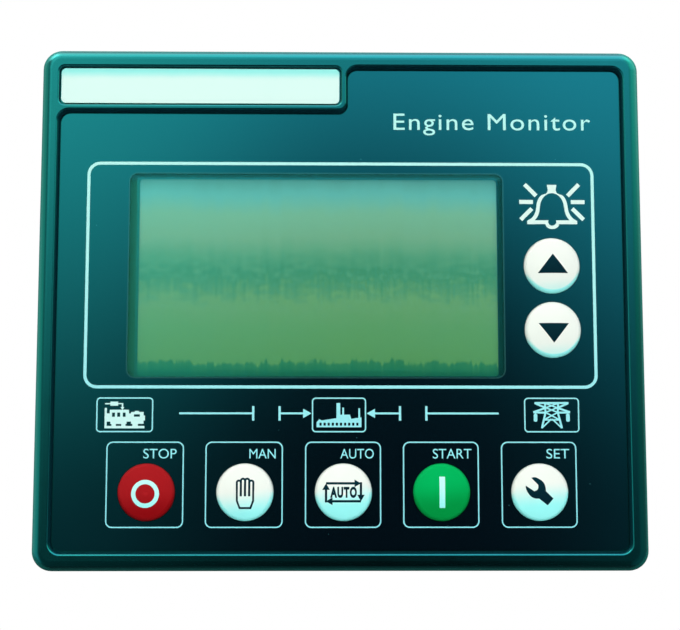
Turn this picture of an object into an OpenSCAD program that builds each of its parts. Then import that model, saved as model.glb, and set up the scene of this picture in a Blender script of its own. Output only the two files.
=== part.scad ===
// Generating-set controller for panel mounting: a bezel with a printed overlay, a display,
// push buttons, two circuit boards, a rear housing, pluggable terminals and fixing clips.
// Every piece is drawn face up: X to the right, Y to the top edge, Z out of the panel, with
// Z = 0 where the bezel meets the panel. upright() then stands the controller on its edge.

/* [Bezel] */
// Width of the bezel
bezel_w = 139; // [136:0.5:150]
// Height of the bezel
bezel_h = 120; // [118:0.5:130]
// Height of the rim above the panel
bezel_depth = 9; // [8.5:0.5:12]
// Radius of the bezel's four corners
corner_r = 4.5; // [4:0.25:8]
// Rounding of the bezel's outer front edge
edge_r = 2.4; // [1:0.1:2.8]
// Width of the rim, from the bezel's edge to the recess wall
rim_w = 3.9; // [3.5:0.05:4.5]
// Depth of the overlay's recess below the rim
recess_depth = 2.3; // [1.8:0.1:3]
// Slope of the recess wall, measured across it
wall_lean = 0.4; // [0.2:0.05:0.6]
// Rounding of the rim's inner edge
lip_r = 0.4; // [0.2:0.05:0.6]
// Corner radius of the overlay's recess
recess_r = 2.2; // [1.5:0.1:3]
// Thickness of the bezel's front wall
front_wall = 2; // [1.8:0.1:2.6]

/* [Name plate] */
// Width of the blank name plate
plate_w = 64.5; // [40:0.5:80]
// Height of the blank name plate
plate_h = 8.2; // [6:0.1:9]
// Thickness of the name plate
plate_t = 0.6; // [0.3:0.1:0.8]
// Depth of the name plate's recess below the rim
plate_recess = 1.2; // [0.9:0.1:1.6]
// Width of the rib between the name plate and the overlay
rib_w = 1.8; // [1.6:0.05:2.6]

/* [Overlay and display] */
// Thickness of the printed overlay
overlay_t = 0.5; // [0.3:0.1:0.7]
// Gap between the overlay and its recess
overlay_gap = 0.3; // [0.15:0.05:0.5]
// Distance of the display window from the bezel's left edge
window_left = 20.7; // [19:0.1:24]
// Distance of the display window from the bezel's top edge
window_top = 29.15; // [28:0.05:31]
// Distance of the display window from the bezel's bottom edge
window_low = 43.65; // [42:0.05:46]
// Space between the display window and the scroll buttons
window_gap = 4.75; // [4:0.05:6]
// Corner radius of the display window
window_r = 1.8; // [1:0.1:2.5]
// Thickness of the clear display lens
lens_t = 1.2; // [0.8:0.1:1.4]
// Ledge that carries the lens under the overlay
lens_ledge = 1.6; // [1:0.1:2]
// Dark border left at each side of the display's picture
picture_border = 1.35; // [1:0.05:1.8]
// Dark border left above the display's picture
picture_top = 0.85; // [0.5:0.05:1.4]

/* [Buttons] */
// Diameter of a button
button_d = 12.9; // [11:0.1:14]
// Height of a button's crown above the overlay
button_proud = 1.9; // [1.5:0.1:2.5]
// Rounding of a button's edge
button_edge = 1.2; // [0.8:0.1:1.5]
// Radius of a button's crown
crown_r = 19; // [14:0.5:40]
// Travel of a button
button_travel = 0.9; // [0.5:0.1:1.1]
// Spacing of the five buttons in the bottom row
row_pitch = 22.25; // [20:0.05:23]
// Place of the row's middle button across the bezel
row_x = 0.5; // [-1:0.1:1]
// Height of the button row over the bezel's bottom edge
row_up = 17.6; // [17:0.1:19]
// Space between the two scroll buttons
scroll_gap = 1.95; // [1.5:0.05:3]
// Distance of the scroll buttons from the bezel's right edge
scroll_edge = 20.9; // [19:0.1:21.5]
// Drop of the scroll buttons' middle below the display's middle
scroll_drop = 5.25; // [4:0.05:7]

/* [Rear housing] */
// Reach of the bezel beyond the housing at each side
reach_x = 5; // [4.5:0.25:6]
// Reach of the bezel beyond the housing at the top and the bottom
reach_y = 5; // [4:0.25:5.5]
// Wall of the rear housing
housing_wall = 2; // [1.6:0.1:2.4]
// Corner radius of the rear housing
housing_r = 3; // [2:0.25:4]
// Width of the shoulder beside the raised middle block
shoulder_w = 5.5; // [3.5:0.25:9]
// Height of the ledge that each row of terminals stands on
ledge_h = 22; // [21:0.5:24]
// Space between the relays and the back of the middle block
block_room = 1.6; // [1:0.1:5]
// Length of a ventilation slot
vent_l = 20; // [10:0.5:28]
// Width of a ventilation slot
vent_w = 1.8; // [1:0.1:2.4]

/* [Boards] */
// Thickness of a circuit board
board_t = 1.6; // [1:0.1:2]
// Length of the spacers between the two boards
spacer_l = 12.9; // [12:0.1:15]
// Thickness of the display's glass
glass_t = 2.6; // [2:0.1:3]
// Thickness of the display's backlight
backlight_t = 3.1; // [2.8:0.1:4]

/* [Terminals] */
// Length of a terminal header above its board
header_l = 12; // [11:0.1:13]
// Outside height of a terminal header
header_h = 8.8; // [8.4:0.1:9.4]
// Length of a terminal plug's body behind its header
plug_l = 11.2; // [10.5:0.1:14]
// Height of a terminal plug's body
plug_h = 11; // [10.4:0.1:12]
// Space between the terminal headers and the housing's edge
terminal_edge = 6.6; // [5.5:0.1:8]

/* [Fixing clips] */
// Thickness of the sheet panel that the clips hold
panel_t = 3; // [2.5:0.5:6]
// Diameter of a clip's jack screw
jack_d = 4; // [3:0.5:4]
// Width of a clip
clip_w = 12; // [10:0.5:16]

/* [Hidden] */
$fn = 64;

// Clearances and small overlaps for clean cuts
cut = 1;
fit = 0.3;
slip = 0.1;
plate_gap = 0.25;

// Heights of the layers, from the rim down through the panel
floor_z = bezel_depth - recess_depth;
overlay_z = floor_z + overlay_t;
plate_z = bezel_depth - plate_recess;
back_z = floor_z - front_wall;
lens_z = floor_z - lens_t;
frame_t = 0.5;
glass_z = back_z - frame_t;
backlight_z = glass_z - glass_t;
board_z = backlight_z - backlight_t;
board_back_z = board_z - board_t;
main_z = board_back_z - spacer_l;
main_back_z = main_z - board_t;
header_end_z = main_back_z - header_l;
ledge_clear = 4.4;
ledge_in_z = main_back_z - ledge_clear;
ledge_z = ledge_in_z - housing_wall;
plug_gap = 0.2;
plug_z = header_end_z - plug_gap;
plug_end_z = plug_z - plug_l;

// Recess of the overlay: half sizes at its floor, and the corner of the rib round the name plate
recess_x = bezel_w / 2 - rim_w - wall_lean;
recess_y = bezel_h / 2 - rim_w - wall_lean;
rib_x = -recess_x + plate_w + 2 * plate_gap + rib_w;
rib_y = recess_y - plate_h - 2 * plate_gap - rib_w;
plate_lean = 0.2;

// Groove and gasket behind the rim
seat_w = 2;
gasket_t = 1.6;

// Places of the buttons, in the order of the switch bases, and of the display
button_r = button_d / 2;
row_y = row_up - bezel_h / 2;
scroll_x = bezel_w / 2 - scroll_edge;
scroll_pitch = button_d + scroll_gap;
window_w = bezel_w - window_left - scroll_edge - button_r - window_gap;
window_h = bezel_h - window_top - window_low;
window_x = (window_left - scroll_edge - button_r - window_gap) / 2;
window_y = (window_low - window_top) / 2;
scroll_y = window_y - scroll_drop;
row_places = [for (i = [-2:2]) [row_x + i * row_pitch, row_y]];
scroll_places = [for (s = [1, -1]) [scroll_x, scroll_y + s * scroll_pitch / 2]];
button_places = concat(row_places, scroll_places);
flange_w = 0.55;
flange_r = button_r + flange_w;
flange_t = 1.2;
button_wall = 1.4;
foot_r = 2.6;
foot_l = 0.3;
foot_z = back_z - flange_t - foot_l;
base_w = 6;
base_gap = 0.4;
base_z = foot_z - button_travel - base_gap;
plunger_r = 1.75;
plunger_l = 2.8;

// Indicator lamps: four in the mimic line, and one behind the alarm bell
led_r = 1.5;
led_rim_r = 1.9;
led_rim_t = 1;
led_up = 17.8;
led_y = row_y + led_up;
led_x = -0.4;
led_near = 16.7;
led_far = 39.3;
bell_x = 0.3;
bell_up = 14;
bell_place = [scroll_x + bell_x, scroll_y + scroll_pitch / 2 + bell_up];
led_row = [led_x - led_far, led_x - led_near, led_x + led_near, led_x + led_far];
led_places = concat([for (x = led_row) [x, led_y]], [bell_place]);
led_cover = 0.6;
led_top_z = floor_z - led_cover;

// Display module. The front of its glass stands in the opening behind the lens.
picture_low = 0.1;
picture_shift = 0.2;
picture_r = 1.2;
glass_gap = 0.2;
picture_w = window_w - 2 * picture_border;
picture_h = window_h - picture_top - picture_low;
picture_x = window_x + picture_shift;
picture_y = window_y + (picture_low - picture_top) / 2;
picture_z = lens_z - glass_gap;
module_rim = 4.1;
module_w = picture_w + 2 * module_rim;
module_h = picture_h + 2 * module_rim;

// Boards, and the posts and columns that hold them
housing_w = bezel_w - 2 * reach_x;
housing_h = bezel_h - 2 * reach_y;
housing_in_w = housing_w - 2 * housing_wall;
housing_in_h = housing_h - 2 * housing_wall;
board_gap = 2.5;
board_w = housing_in_w - 2 * board_gap;
board_h = housing_in_h - 2 * board_gap;
column_r = 3.75;
column_gap = 0.75;
column_play = 0.25;
column_x = housing_in_w / 2 - column_r - column_gap;
column_y = housing_in_h / 2 - column_r - column_gap;
notch = board_w / 2 - column_x + column_r + 2 * column_play;
post_r = 2.5;
post_edge = 0.5;
post_x = board_w / 2 - post_r - post_edge;
post_top = 24.5;
post_low = 28.5;
post_rows = [board_h / 2 - post_top, post_low - board_h / 2];
post_places = [for (s = [-1, 1], y = post_rows) [s * post_x, y]];
board_screw_r = 1.25;
board_head_r = 2.4;
board_head_t = 1.6;
pilot_gap = 0.05;
lip_t = 1.5;
lip_h = 3;

// Screws that hold the housing on the bezel, at the bottom of the corner columns
tunnel_r = 3.05;
screw_r = 1.45;
screw_head_r = 2.75;
screw_head_t = 2;
column_drop = 1;
shoulder_t = 4;
screw_short = 3;
column_z = board_back_z - column_drop;
shoulder_z = column_z - shoulder_t;
screw_tip_z = back_z - screw_short;

// Middle block at the back, round the parts on the main board
relay_w = 15;
relay_h = 19.5;
relay_l = 15;
block_w = housing_w - 2 * shoulder_w;
block_h = housing_h - 2 * ledge_h;
block_z = main_back_z - relay_l - block_room - housing_wall;
block_in_w = block_w - 2 * housing_wall;
block_in_h = block_h - 2 * housing_wall;

// Terminal rows: poles and pole spacing of each terminal, in the order across the controller.
// Each row is spread evenly over the room between the corner columns, and the low-voltage row
// below has as many poles as fit there.
header_wall = 1;
row_gap = 0.4;
terminal_room = 2 * (column_x - column_r - row_gap);
narrow_pole = 5.08;
wide_pole = 7.62;
low_poles = floor((terminal_room - 4 * header_wall - 3 * row_gap) / narrow_pole);
supply_poles = round(0.6 * low_poles);
low_row = [[supply_poles, narrow_pole], [low_poles - supply_poles, narrow_pole]];
high_row = [[4, wide_pole], [4, wide_pole], [4, narrow_pole]];
terminal_y = housing_h / 2 - terminal_edge - header_h / 2;
header_floor = 3;
pin_w = 1;
pin_l = 9.6;
nose_gap = 0.25;
nose_tip_gap = 0.4;
wire_w = 3.4;
wire_h = 3.6;
wire_depth = 7.5;
clamp_r = 1.6;
clamp_in = 5.5;
clamp_z = plug_z - clamp_in;
groove_w = 0.6;
groove_depth = 0.5;

// Parts on the main board, inside the middle block
relay_inset = 4.25;
relay_x = [for (part = [-0.404, -0.246, -0.088]) part * block_in_w];
relay_y = relay_inset + relay_h / 2 - block_in_h / 2;
coil_w = 17;
coil_h = 9;
coil_l = 14.5;
coil_inset = 11.5;
coil_x = [for (part = [-0.395, -0.219, -0.043]) part * block_in_w];
coil_y = block_in_h / 2 - coil_inset - coil_h / 2;
can_r = 5;
can_l = 13;
can_inset = 6;
can_y = can_inset + can_r - block_in_h / 2;
can_places = [for (part = [0.093, 0.2]) [part * block_in_w, can_y]];
chip_w = 14;
chip_t = 1.4;
port_w = 15;
port_h = 14;
mouth_w = 11.8;
mouth_h = 7;
mouth_depth = 12;
port_inset = 9;
port_place = [0.368 * block_in_w, port_inset + port_h / 2 - block_in_h / 2];

// Vents in the middle block, in two banks
vent_pitch = 5.2;
vent_count = 7;
vent_banks = [[-0.263 * block_in_w, 0], [0.123 * block_in_w, 0.129 * block_in_h]];

// Board-to-board connector
link_poles = 10;
link_spacing = 2.54;
link_body = 2.5;
link_pin_w = 0.64;
link_edge = 4.5;
link_place = [-board_w / 6, link_edge - board_h / 2];

// Fixing clips: hooks in slots in the housing's sides, and a lug for the jack screw
clip_t = 2.2;
hook_neck = 2.2;
hook_head = 1.8;
hook_t = 1.8;
hook_w = 8;
hook_pitch = 9.4;
hook_gap = 0.6;
hook_z = ledge_in_z + hook_head + hook_gap + hook_pitch + hook_neck;
slot_play = 0.3;
lug_t = 5;
lug_w = 8;
lug_z = hook_z - hook_pitch - hook_neck - hook_head;
jack_r = jack_d / 2;
jack_gap = 0.2;
jack_x = housing_w / 2 + clip_t + jack_r + jack_gap;
jack_head_r = jack_d * 0.85;
jack_head_t = 2.6;
jack_spare = 4;

// Stands a piece that was drawn face up on the controller's bottom edge, facing -Y
module upright() {
    rotate([90, 0, 0]) children();
}

// Extrudes a flat shape from one height up to another
module layer(low, high) {
    translate([0, 0, low]) linear_extrude(height = high - low) children();
}

// A rectangle with round corners, centred
module rounded_rect(w, h, r) {
    square([w - 2 * r, h], center = true);
    square([w, h - 2 * r], center = true);
    for (sx = [-1, 1], sy = [-1, 1])
        translate([sx * (w / 2 - r), sy * (h / 2 - r)]) circle(r);
}

// Sweeps a flat profile round a closed outline of square corners, each [x, y, radius], listed
// anticlockwise. The profile's X runs outwards from the outline and its Y runs up.
function heading(p, q) = atan2(q[1] - p[1], q[0] - p[0]);
module sweep(outline) {
    n = len(outline);
    for (i = [0:n - 1]) {
        before = outline[(i + n - 1) % n];
        here = outline[i];
        after = outline[(i + 1) % n];
        r = here[2];
        a = heading(before, here);
        b = heading(here, after);
        left_turn = sin(b - a) > 0;
        centre = [here[0] + r * (cos(b) - cos(a)), here[1] + r * (sin(b) - sin(a))];
        translate(centre)
            rotate(left_turn ? a - 90 : a)
                rotate_extrude(angle = 90)
                    translate([r, 0])
                        mirror([left_turn ? 0 : 1, 0]) children();
        run = norm([after[0] - here[0], after[1] - here[1]]) - r - after[2];
        translate([after[0] - after[2] * cos(b), after[1] - after[2] * sin(b)])
            rotate([0, 0, b])
                rotate([90, 0, -90])
                    linear_extrude(height = run) children();
    }
}

// The four corners of a rounded rectangle, as an outline for sweep()
function rect_outline(w, h, r) =
    [[-w / 2, -h / 2, r], [w / 2, -h / 2, r], [w / 2, h / 2, r], [-w / 2, h / 2, r]];

// The overlay's L-shaped outline, grown outwards by g
function overlay_outline(g) = [
    [-recess_x - g, -recess_y - g, recess_r + g],
    [recess_x + g, -recess_y - g, recess_r + g],
    [recess_x + g, recess_y + g, recess_r + g],
    [rib_x - g, recess_y + g, recess_r + g],
    [rib_x - g, rib_y + g, recess_r - g],
    [-recess_x - g, rib_y + g, recess_r + g]
];

// The overlay's L shape, filled: two rounded rectangles, and the web outside the rib's corner
module overlay_shape(g) {
    w = 2 * recess_x + 2 * g;
    low_h = recess_y + rib_y + 2 * g;
    right_w = recess_x - rib_x + 2 * g;
    translate([0, (rib_y - recess_y) / 2]) rounded_rect(w, low_h, recess_r + g);
    translate([(recess_x + rib_x) / 2, 0])
        rounded_rect(right_w, 2 * recess_y + 2 * g, recess_r + g);
    r = recess_r - g;
    difference() {
        translate([rib_x - g - r, rib_y + g - r]) square([2 * r, 2 * r]);
        translate([rib_x - g - r, rib_y + g + r]) circle(r);
        translate([rib_x - g - 2 * r, rib_y + g + r]) square([r, r]);
        translate([rib_x - g - r, rib_y + g + r]) square([r, r]);
    }
}

// Section cut away round a recess of a given depth: a sloping wall and a rounded upper edge
module recess_edge(depth, slope, r) {
    inside = 0.6;
    difference() {
        polygon([
            [-inside, 0], [0, 0], [slope, depth - r], [slope + r, depth - r],
            [slope + r, depth + cut], [-inside, depth + cut]
        ]);
        translate([slope + r, depth - r]) circle(r);
    }
}

// Section cut away to round an outer edge, with its corner at the origin
module edge_round(r) {
    difference() {
        translate([-r, -r]) square([r + cut, r + cut]);
        translate([-r, -r]) circle(r);
    }
}

// Places a child at each of a list of places
module at_places(places) {
    for (p = places) translate([p[0], p[1], 0]) children();
}

module at_columns() {
    for (sx = [-1, 1], sy = [-1, 1])
        translate([sx * column_x, sy * column_y, 0]) children();
}

// Front bezel

module name_plate_recess() {
    w = plate_w + 2 * plate_gap;
    h = plate_h + 2 * plate_gap;
    translate([-recess_x + w / 2, recess_y - h / 2, 0]) {
        layer(plate_z, bezel_depth + cut) rounded_rect(w, h, recess_r / 2);
        translate([0, 0, plate_z])
            sweep(rect_outline(w, h, recess_r / 2))
                recess_edge(plate_recess, plate_lean, lip_r);
    }
}

module bezel_blank() {
    difference() {
        layer(0, bezel_depth) rounded_rect(bezel_w, bezel_h, corner_r);
        translate([0, 0, bezel_depth])
            sweep(rect_outline(bezel_w, bezel_h, corner_r)) edge_round(edge_r);
    }
}

module window_opening(grow) {
    translate([window_x, window_y])
        rounded_rect(window_w + 2 * grow, window_h + 2 * grow, window_r + grow);
}

module picture_shape(grow) {
    translate([picture_x, picture_y])
        rounded_rect(picture_w + 2 * grow, picture_h + 2 * grow, picture_r + grow);
}

module lens_pocket() {
    layer(lens_z, floor_z + cut) window_opening(lens_ledge);
    layer(back_z - cut, lens_z + cut) picture_shape(glass_gap);
}

module bezel_openings() {
    lens_pocket();
    at_places(button_places) layer(back_z - cut, floor_z + cut) circle(button_r + fit);
    at_places(led_places) layer(back_z - cut, floor_z + cut) circle(led_r + fit);
}

module bezel_back_pocket() {
    layer(-cut, back_z)
        rounded_rect(housing_w + 2 * fit, housing_h + 2 * fit, housing_r + fit);
    layer(-cut, gasket_t)
        rounded_rect(bezel_w - 2 * seat_w, bezel_h - 2 * seat_w, corner_r - seat_w);
}

module locating_lip() {
    w = housing_in_w - 2 * fit;
    h = housing_in_h - 2 * fit;
    r = housing_r - housing_wall / 2;
    layer(back_z - lip_h, back_z)
        difference() {
            rounded_rect(w, h, r);
            square([w - 2 * lip_t, h - 2 * lip_t], center = true);
        }
}

module bezel_posts() {
    at_places(post_places)
        layer(board_z, back_z)
            difference() {
                circle(post_r);
                circle(board_screw_r + pilot_gap);
            }
    at_columns()
        layer(column_z, back_z)
            difference() {
                circle(column_r - column_play);
                circle(screw_r + pilot_gap);
            }
}

module front_bezel() {
    color([0.02, 0.13, 0.14]) upright() {
        difference() {
            bezel_blank();
            layer(floor_z, bezel_depth + cut) overlay_shape(0);
            translate([0, 0, floor_z])
                sweep(overlay_outline(0)) recess_edge(recess_depth, wall_lean, lip_r);
            name_plate_recess();
            bezel_back_pocket();
            bezel_openings();
        }
        locating_lip();
        bezel_posts();
    }
}

module name_plate() {
    color([0.88, 0.97, 0.94]) upright()
        translate([-recess_x + plate_gap + plate_w / 2, recess_y - plate_gap - plate_h / 2, 0])
            layer(plate_z, plate_z + plate_t) rounded_rect(plate_w, plate_h, recess_r / 2);
}

module front_overlay() {
    color([0.03, 0.2, 0.23]) upright()
        layer(floor_z, overlay_z)
            difference() {
                overlay_shape(-overlay_gap);
                window_opening(0);
                at_places(button_places) circle(button_r + fit);
            }
}

module display_lens() {
    color([0.7, 0.9, 0.85, 0.35]) upright()
        layer(lens_z, floor_z) window_opening(lens_ledge - slip);
}

module panel_gasket() {
    color([0.03, 0.03, 0.03]) upright()
        layer(0, gasket_t)
            difference() {
                w = bezel_w - 2 * seat_w - 2 * slip;
                h = bezel_h - 2 * seat_w - 2 * slip;
                rounded_rect(w, h, corner_r - seat_w - slip);
                rounded_rect(housing_w + 4 * fit, housing_h + 4 * fit, housing_r + 2 * fit);
            }
}

// Buttons and the switches behind them

module button_section() {
    top = overlay_z + button_proud;
    crown_z = top - crown_r;
    edge_x = button_r - button_edge;
    edge_z = crown_z + sqrt(pow(crown_r - button_edge, 2) - pow(edge_x, 2));
    meet_x = edge_x * crown_r / (crown_r - button_edge);
    hollow_z = edge_z - button_wall;
    difference() {
        union() {
            intersection() {
                translate([0, crown_z]) circle(crown_r);
                translate([0, back_z]) square([meet_x, top - back_z]);
            }
            translate([edge_x, edge_z]) circle(button_edge);
            translate([0, back_z - flange_t]) square([button_r, edge_z - back_z + flange_t]);
            translate([0, back_z - flange_t]) square([flange_r, flange_t]);
            translate([0, foot_z]) square([foot_r, back_z - foot_z]);
        }
        translate([foot_r, foot_z - cut])
            square([button_r - button_wall - foot_r, hollow_z - foot_z + cut]);
    }
}

module push_button(i, tint) {
    color(tint) upright() translate(button_places[i]) rotate_extrude() button_section();
}

module plunger(i) {
    color([0.05, 0.05, 0.05]) upright()
        translate(button_places[i]) layer(foot_z - plunger_l, foot_z) circle(plunger_r);
}

module switch_bases() {
    color([0.2, 0.2, 0.2]) upright()
        at_places(button_places)
            difference() {
                layer(board_z, base_z) square(base_w, center = true);
                layer(foot_z - plunger_l - button_travel - slip, base_z + cut)
                    circle(plunger_r + slip);
            }
}

module indicator_leds() {
    color([0.8, 0.85, 0.7]) upright()
        at_places(led_places) {
            layer(board_z, board_z + led_rim_t) circle(led_rim_r);
            layer(board_z, led_top_z - led_r) circle(led_r);
            translate([0, 0, led_top_z - led_r]) sphere(led_r);
        }
}

// Display module

module module_shape(inset) {
    translate([picture_x, picture_y])
        square([module_w - 2 * inset, module_h - 2 * inset], center = true);
}

module lcd_frame() {
    color([0.06, 0.08, 0.08]) upright()
        difference() {
            layer(board_z, back_z) module_shape(0);
            layer(board_z - cut, glass_z) module_shape(frame_t);
            layer(glass_z - cut, back_z + cut) picture_shape(glass_gap);
        }
}

module lcd_glass() {
    color([0.36, 0.62, 0.42]) upright() {
        layer(backlight_z, glass_z) module_shape(frame_t + slip);
        layer(backlight_z, picture_z) picture_shape(0);
    }
}

module lcd_backlight() {
    color([0.85, 0.9, 0.75]) upright()
        layer(board_z, backlight_z) module_shape(frame_t + slip);
}

// Circuit boards

module board_shape() {
    difference() {
        square([board_w, board_h], center = true);
        for (sx = [-1, 1], sy = [-1, 1])
            translate([sx * board_w / 2, sy * board_h / 2]) square(2 * notch, center = true);
        at_places(post_places) circle(board_screw_r + slip);
    }
}

module display_board() {
    color([0.03, 0.3, 0.12]) upright() layer(board_back_z, board_z) board_shape();
}

module main_board() {
    color([0.03, 0.3, 0.12]) upright() layer(main_back_z, main_z) board_shape();
}

module link_pins(w) {
    for (i = [0:link_poles - 1], s = [-1, 1])
        translate([(i - (link_poles - 1) / 2) * link_spacing, s * link_spacing / 2])
            square(w, center = true);
}

module link_shape() {
    square([link_poles * link_spacing, 2 * link_spacing], center = true);
}

module board_header() {
    low = board_back_z - link_body;
    color([0.05, 0.05, 0.05]) upright()
        translate([link_place[0], link_place[1], 0]) {
            layer(low, board_back_z) link_shape();
            layer(low - link_body * 2, low) link_pins(link_pin_w);
        }
}

module board_socket() {
    high = board_back_z - link_body;
    color([0.05, 0.05, 0.05]) upright()
        translate([link_place[0], link_place[1], 0])
            difference() {
                layer(main_z, high) link_shape();
                layer(high - link_body * 2 - fit, high + cut) link_pins(link_pin_w + 2 * slip);
            }
}

module board_spacers() {
    color([0.75, 0.65, 0.35]) upright()
        at_places(post_places)
            layer(main_z, board_back_z)
                difference() {
                    circle(post_r);
                    circle(board_screw_r + slip);
                }
}

// A pan-head screw that points to the front, with its head's under side at a height and a cross
// or a slot in its head
module pan_screw(seat, tip, r, head_r, head_t) {
    slot_w = head_r / 4;
    layer(seat - cut / 2, tip) circle(r);
    difference() {
        layer(seat - head_t, seat) circle(head_r);
        layer(seat - head_t - cut, seat - head_t / 2)
            for (turn = [0, 90])
                rotate(turn) square([1.3 * head_r, slot_w], center = true);
    }
}

module board_screws() {
    color([0.75, 0.75, 0.75]) upright()
        at_places(post_places)
            pan_screw(main_back_z, back_z - cut, board_screw_r, board_head_r, board_head_t);
}

module processor_chip() {
    color([0.04, 0.04, 0.04]) upright()
        translate([relay_x[2], coil_y, 0])
            layer(main_z, main_z + chip_t) square(chip_w, center = true);
}

module output_relays() {
    color([0.05, 0.2, 0.5]) upright()
        for (x = relay_x)
            translate([x, relay_y, 0])
                layer(main_back_z - relay_l, main_back_z) rounded_rect(relay_w, relay_h, 0.8);
}

module current_transformers() {
    color([0.12, 0.12, 0.14]) upright()
        for (x = coil_x)
            translate([x, coil_y, 0])
                layer(main_back_z - coil_l, main_back_z) rounded_rect(coil_w, coil_h, 1.5);
}

module capacitors() {
    color([0.1, 0.1, 0.3]) upright()
        at_places(can_places) layer(main_back_z - can_l, main_back_z) circle(can_r);
}

module link_port() {
    color([0.04, 0.04, 0.04]) upright()
        translate([port_place[0], port_place[1], 0])
            difference() {
                layer(block_z, main_back_z) square([port_w, port_h], center = true);
                layer(block_z - cut, block_z + mouth_depth) {
                    square([mouth_w, mouth_h], center = true);
                    translate([0, -mouth_h / 2]) square([mouth_w / 2, mouth_h / 3], center = true);
                }
            }
}

// Rear housing

module terminal_cutouts() {
    for (t = terminals)
        translate([t[2], t[3] * terminal_y])
            square([header_w(t) + fit, header_h + 2 * fit], center = true);
}

module vents() {
    for (bank = vent_banks, i = [0:vent_count - 1])
        translate([bank[0] + (i - (vent_count - 1) / 2) * vent_pitch, bank[1]])
            rounded_rect(vent_w, vent_l, vent_w / 2 - 0.01);
}

module clip_slots() {
    slot_l = hook_neck + hook_head + 2 * slot_play;
    for (s = [-1, 1], k = [0, 1])
        translate([
            s * (housing_w - housing_wall) / 2, 0,
            hook_z - k * hook_pitch - hook_neck - slot_play / 2 + slot_l / 2
        ])
            cube([housing_wall + cut, hook_w + 2 * slot_play, slot_l], center = true);
}

module housing_shell() {
    difference() {
        union() {
            difference() {
                layer(ledge_z, back_z) rounded_rect(housing_w, housing_h, housing_r);
                translate([0, 0, ledge_z])
                    mirror([0, 0, 1])
                        sweep(rect_outline(housing_w, housing_h, housing_r)) edge_round(1);
            }
            difference() {
                layer(block_z, ledge_z + cut) rounded_rect(block_w, block_h, housing_r);
                translate([0, 0, block_z])
                    mirror([0, 0, 1])
                        sweep(rect_outline(block_w, block_h, housing_r)) edge_round(1.5);
            }
        }
        layer(ledge_in_z, back_z + cut)
            rounded_rect(housing_in_w, housing_in_h, housing_r - housing_wall / 2);
        layer(block_z + housing_wall, ledge_in_z + cut)
            rounded_rect(
                block_in_w, block_in_h, housing_r - housing_wall / 2
            );
    }
}

module rear_housing() {
    color([0.02, 0.1, 0.11]) upright()
        difference() {
            union() {
                housing_shell();
                at_columns() layer(ledge_in_z - cut, column_z) circle(column_r);
            }
            at_columns() {
                layer(ledge_z - cut, shoulder_z) circle(tunnel_r);
                layer(shoulder_z - cut, column_z + cut) circle(screw_r + 2 * slip);
            }
            layer(ledge_z - cut, ledge_in_z + cut) terminal_cutouts();
            layer(block_z - cut, block_z + housing_wall + cut) {
                vents();
                translate(port_place) square([port_w + fit, port_h + fit], center = true);
            }
            clip_slots();
        }
}

module housing_screws() {
    color([0.75, 0.75, 0.75]) upright()
        at_columns() pan_screw(shoulder_z, screw_tip_z, screw_r, screw_head_r, screw_head_t);
}

// Fixing clips

module clip_hook(k) {
    rear = hook_z - k * hook_pitch - hook_neck;
    inner = housing_w / 2 - housing_wall;
    translate([inner - slip - hook_t, -hook_w / 2, rear - hook_head])
        cube([hook_t, hook_w, hook_neck + hook_head]);
    translate([inner - slip - hook_t / 2, -hook_w / 2, rear])
        cube([housing_wall + slip + hook_t, hook_w, hook_neck]);
}

module fixing_clip() {
    face = housing_w / 2;
    front = hook_z + hook_neck;
    difference() {
        union() {
            translate([face, -clip_w / 2, lug_z - lug_t]) cube([clip_t, clip_w, front - lug_z + lug_t]);
            translate([face, -clip_w / 2, lug_z - lug_t]) cube([lug_w, clip_w, lug_t]);
            for (s = [-1, 1])
                translate([0, s * (clip_w / 2 - clip_t / 4) + clip_t / 4, 0])
                    rotate([90, 0, 0])
                        linear_extrude(height = clip_t / 2)
                            polygon([
                                [face, lug_z - cut], [face + lug_w, lug_z - cut],
                                [face + lug_w, lug_z], [face + clip_t, lug_z + lug_w],
                                [face, lug_z + lug_w]
                            ]);
            for (k = [0, 1]) clip_hook(k);
        }
        translate([jack_x, 0, 0]) layer(lug_z - lug_t - cut, lug_z + cut) circle(jack_r + pilot_gap);
    }
}

module left_clip() {
    color([0.05, 0.05, 0.05]) upright() mirror([1, 0, 0]) fixing_clip();
}

module right_clip() {
    color([0.05, 0.05, 0.05]) upright() fixing_clip();
}

module jack_screws() {
    seat = lug_z - lug_t - jack_spare;
    color([0.75, 0.75, 0.75]) upright()
        for (s = [-1, 1])
            translate([s * jack_x, 0, 0]) {
                layer(seat - cut / 2, -panel_t) circle(jack_r);
                difference() {
                    layer(seat - jack_head_t, seat) circle(jack_head_r);
                    layer(seat - jack_head_t - cut, seat - jack_head_t / 2)
                        square([3 * jack_head_r, jack_head_r / 4], center = true);
                }
            }
}

// Pluggable terminals

function terminal_w(t) = t[0] * t[1];
function header_w(t) = terminal_w(t) + 2 * header_wall;

// Widths of the headers before one in its row, the space left between them, and the row with the
// place across and the side of the middle added to each terminal
function row_width(row, n) = n == 0 ? 0 : header_w(row[n - 1]) + row_width(row, n - 1);
function row_space(row) = (terminal_room - row_width(row, len(row))) / (len(row) + 1);
function placed(row, side) = [
    for (n = [0:len(row) - 1]) [
        row[n][0], row[n][1],
        row_width(row, n) + header_w(row[n]) / 2 + (n + 1) * row_space(row) - terminal_room / 2,
        side
    ]
];
terminals = concat(placed(low_row, -1), placed(high_row, 1));

// Places a child at each pole of a terminal, with Y away from the middle of the controller
module at_terminal(t) {
    translate([t[2], t[3] * terminal_y, 0]) mirror([0, t[3] < 0 ? 1 : 0, 0]) children();
}

module at_poles(t) {
    for (i = [0:t[0] - 1]) translate([(i - (t[0] - 1) / 2) * t[1], 0, 0]) children();
}

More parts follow.
